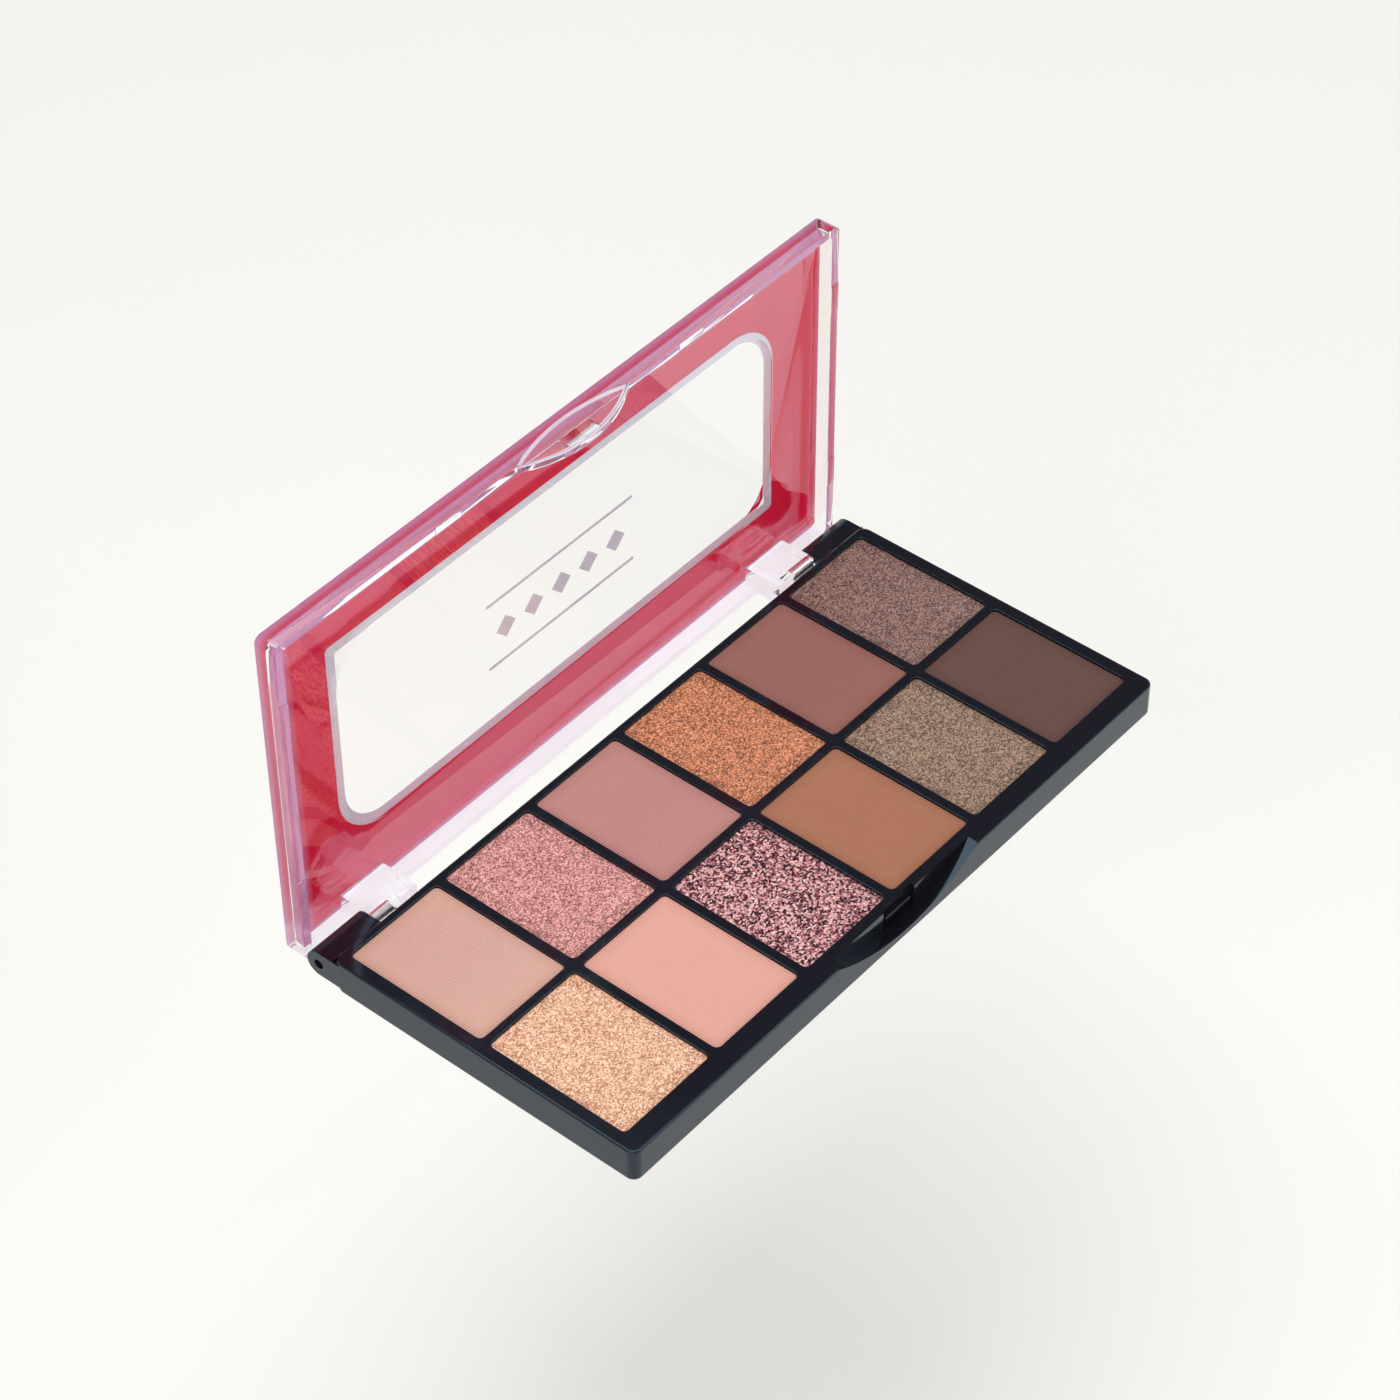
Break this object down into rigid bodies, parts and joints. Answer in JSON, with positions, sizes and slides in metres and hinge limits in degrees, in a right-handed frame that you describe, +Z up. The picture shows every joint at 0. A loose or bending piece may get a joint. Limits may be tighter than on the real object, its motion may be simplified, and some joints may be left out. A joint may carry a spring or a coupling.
{
  "type": "eyeshadow palette",
  "caption": "Flat rectangular eyeshadow palette: black base with a grid of pressed shadows in pans, and a clear printed lid that folds shut on two hinge pins.",
  "frame": {"origin": "centre of the base's flat underside", "axes": "+X along the palette's length, +Y towards the hinge, +Z up out of the shadows"},
  "size_m": [0.14, 0.0763, 0.0724],
  "materials": {
    "base_black": "polished black",
    "cover_black": "fine satin",
    "label_paper": "blank coated paper",
    "glue": "soft adhesive",
    "pin_steel": "drawn wire",
    "clear_acrylic": "clear, polished",
    "crimson_print": "gloss print",
    "silver_foil": "hot-stamped foil",
    "pan_tin": "pressed sheet",
    "shadow_front_1": "peach gold, metallic shimmer",
    "shadow_front_2": "peach pink, matte",
    "shadow_front_3": "burgundy with pink glitter",
    "shadow_front_4": "camel, matte",
    "shadow_front_5": "olive gold, metallic shimmer",
    "shadow_front_6": "dark brown, matte",
    "shadow_back_1": "nude beige, matte",
    "shadow_back_2": "rose pink, metallic shimmer",
    "shadow_back_3": "mauve pink, matte",
    "shadow_back_4": "copper orange, metallic shimmer",
    "shadow_back_5": "brown mauve, matte",
    "shadow_back_6": "taupe brown, metallic shimmer"
  },
  "bodies": {
    "base": {"base_shell": "base_black", "bottom_cover": "cover_black", "underside_label": "label_paper", "pan_glue": "glue", "hinge_pin_left": "pin_steel", "hinge_pin_right": "pin_steel", "pan_front_1": "pan_tin", "shadow_front_1": "shadow_front_1", "pan_front_2": "pan_tin", "shadow_front_2": "shadow_front_2", "pan_front_3": "pan_tin", "shadow_front_3": "shadow_front_3", "pan_front_4": "pan_tin", "shadow_front_4": "shadow_front_4", "pan_front_5": "pan_tin", "shadow_front_5": "shadow_front_5", "pan_front_6": "pan_tin", "shadow_front_6": "shadow_front_6", "pan_back_1": "pan_tin", "shadow_back_1": "shadow_back_1", "pan_back_2": "pan_tin", "shadow_back_2": "shadow_back_2", "pan_back_3": "pan_tin", "shadow_back_3": "shadow_back_3", "pan_back_4": "pan_tin", "shadow_back_4": "shadow_back_4", "pan_back_5": "pan_tin", "shadow_back_5": "shadow_back_5", "pan_back_6": "pan_tin", "shadow_back_6": "shadow_back_6"},
    "lid": {"lid_shell": "clear_acrylic", "lid_print": "crimson_print", "window_foil": "silver_foil", "window_ornament": "silver_foil"}
  },
  "joints": [
    {"name": "lid_hinge", "type": "hinge", "parent": "base", "child": "lid", "pos_m": [0, 0.0359, 0.0039], "axis": [-1, 0, 0], "range_deg": [-90, 90]}
  ]
}
